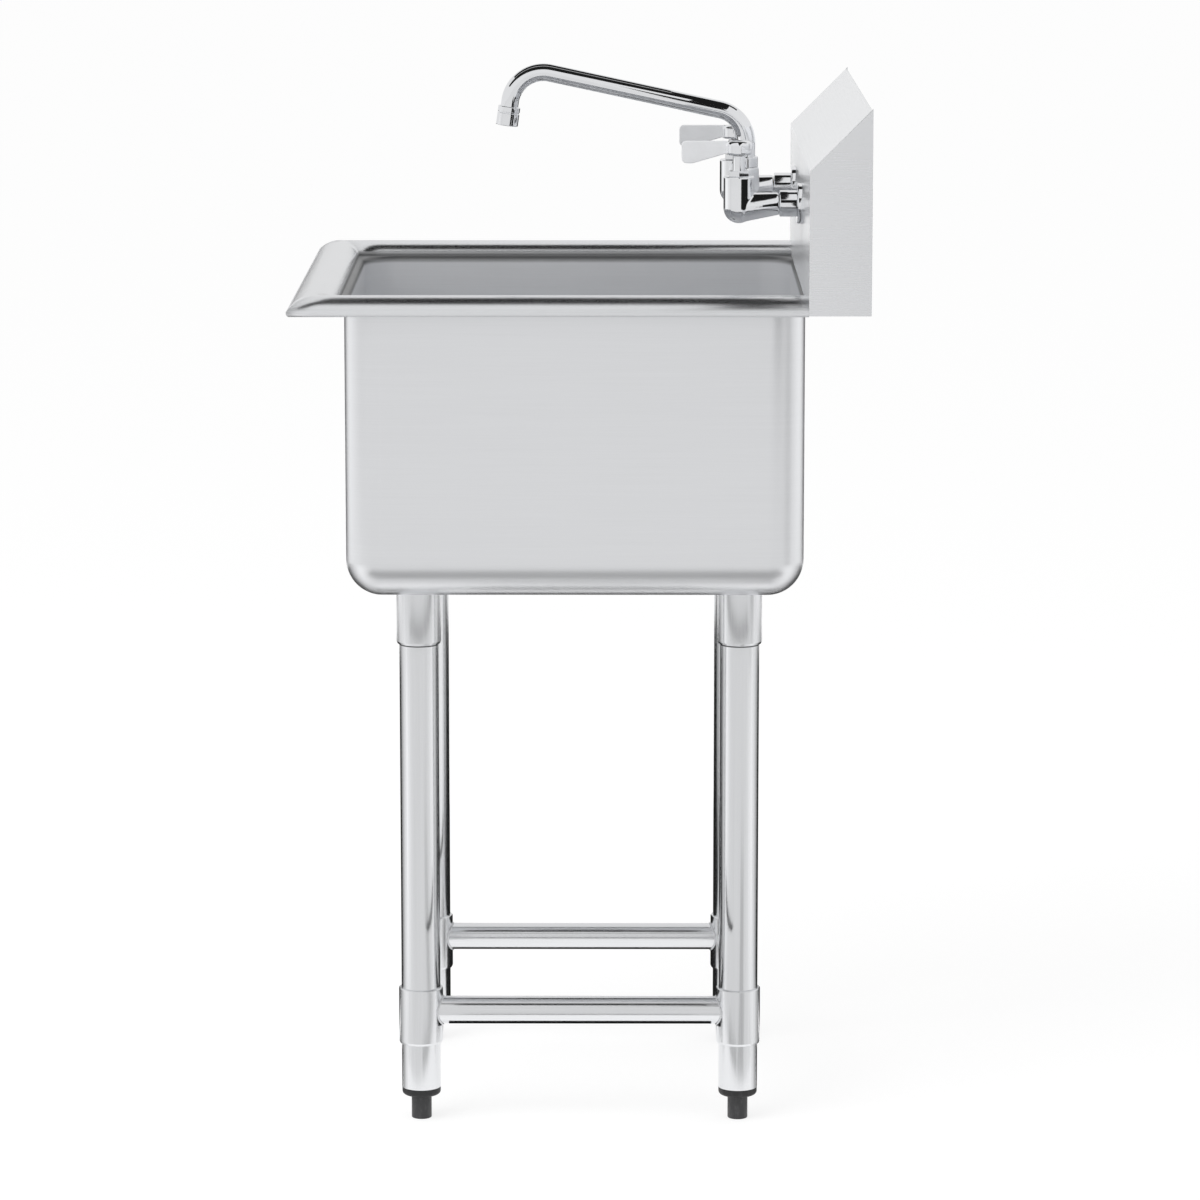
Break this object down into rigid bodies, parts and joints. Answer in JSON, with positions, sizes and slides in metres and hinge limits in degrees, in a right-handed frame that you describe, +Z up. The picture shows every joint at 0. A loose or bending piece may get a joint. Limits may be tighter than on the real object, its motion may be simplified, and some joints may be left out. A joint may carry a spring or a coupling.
{
  "type": "utility sink",
  "caption": "Free-standing stainless utility sink: deep square bowl with a rolled rim, sloping backsplash with a two-lever swivel faucet, on tube legs with side rails and screw feet",
  "frame": {"origin": "on the floor, under the middle of the outline", "axes": "+X to the right of someone who stands at the front, +Y towards the wall, +Z up"},
  "size_m": [0.6, 0.596, 1.1133],
  "materials": {
    "stainless_sheet": "fine brushed stainless sheet",
    "stainless_tube": "stainless tube, brushed along its length",
    "zinc_screw": "plated steel screws",
    "plug_plastic": "black moulded plastic",
    "foot_plastic": "dark grey moulded foot",
    "stainless_drain": "pressed stainless",
    "polished_chrome": "polished chrome",
    "brass": "turned brass",
    "rubber": "black rubber",
    "fibre": "fibre washer",
    "screen_plastic": "perforated disc"
  },
  "bodies": {
    "sink": {"basin": "stainless_sheet", "rim_front": "stainless_sheet", "rim_left": "stainless_sheet", "rim_right": "stainless_sheet", "backsplash_panel": "stainless_sheet", "backsplash_end_left": "stainless_sheet", "backsplash_end_right": "stainless_sheet", "leg_plates": "stainless_sheet", "leg_socket_front_left": "stainless_tube", "leg_socket_front_right": "stainless_tube", "leg_socket_rear_left": "stainless_tube", "leg_socket_rear_right": "stainless_tube", "leg_front_left": "stainless_tube", "leg_front_right": "stainless_tube", "leg_rear_left": "stainless_tube", "leg_rear_right": "stainless_tube", "rail_collar_front_left": "stainless_tube", "rail_collar_front_right": "stainless_tube", "rail_collar_rear_left": "stainless_tube", "rail_collar_rear_right": "stainless_tube", "side_rail_left": "stainless_tube", "side_rail_right": "stainless_tube", "rear_rail": "stainless_tube", "socket_set_screws": "zinc_screw", "collar_set_screws": "zinc_screw", "foot_plug_front_left": "plug_plastic", "foot_plug_front_right": "plug_plastic", "foot_plug_rear_left": "plug_plastic", "foot_plug_rear_right": "plug_plastic", "drain_body": "stainless_drain", "drain_gasket": "rubber", "drain_washer": "fibre", "drain_lock_nut": "stainless_drain", "faucet_body": "polished_chrome", "wall_flange_hot": "polished_chrome", "wall_flange_cold": "polished_chrome", "inlet_nut_hot": "polished_chrome", "inlet_nut_cold": "polished_chrome", "inlet_shank_hot": "brass", "inlet_shank_cold": "brass", "shank_lock_nut_hot": "brass", "shank_lock_nut_cold": "brass", "bonnet_hot": "polished_chrome", "bonnet_cold": "polished_chrome", "spout_nut": "polished_chrome", "spout_o_ring": "rubber"},
    "spout_arm": {"spout": "polished_chrome", "aerator": "polished_chrome", "aerator_screen": "screen_plastic"},
    "hot_lever": {"lever_hot": "polished_chrome", "valve_stem_hot": "brass", "lever_screw_hot": "polished_chrome"},
    "cold_lever": {"lever_cold": "polished_chrome", "valve_stem_cold": "brass", "lever_screw_cold": "polished_chrome"},
    "strainer": {"strainer_basket": "stainless_drain"},
    "front_left_foot": {"foot_front_left": "foot_plastic"},
    "front_right_foot": {"foot_front_right": "foot_plastic"},
    "rear_left_foot": {"foot_rear_left": "foot_plastic"},
    "rear_right_foot": {"foot_rear_right": "foot_plastic"}
  },
  "joints": [
    {"name": "spout_swivel", "type": "hinge", "parent": "sink", "child": "spout_arm", "pos_m": [0, 0.177, 1], "axis": [0, 0, 1], "range_deg": [-90, 90]},
    {"name": "hot_valve_turn", "type": "hinge", "parent": "sink", "child": "hot_lever", "pos_m": [-0.1016, 0.1669, 1.02], "axis": [0, 0, -1], "range_deg": [0, 90]},
    {"name": "cold_valve_turn", "type": "hinge", "parent": "sink", "child": "cold_lever", "pos_m": [0.1016, 0.1669, 1.02], "axis": [0, 0, 1], "range_deg": [0, 90]},
    {"name": "strainer_lift", "type": "slide", "parent": "sink", "child": "strainer", "axis": [0, 0, 1], "range_m": [0, 0.2]},
    {"name": "front_left_foot_screw", "type": "slide", "parent": "sink", "child": "front_left_foot", "axis": [0, 0, -1], "range_m": [0, 0.025]},
    {"name": "front_right_foot_screw", "type": "slide", "parent": "sink", "child": "front_right_foot", "axis": [0, 0, -1], "range_m": [0, 0.025]},
    {"name": "rear_left_foot_screw", "type": "slide", "parent": "sink", "child": "rear_left_foot", "axis": [0, 0, -1], "range_m": [0, 0.025]},
    {"name": "rear_right_foot_screw", "type": "slide", "parent": "sink", "child": "rear_right_foot", "axis": [0, 0, -1], "range_m": [0, 0.025]}
  ]
}
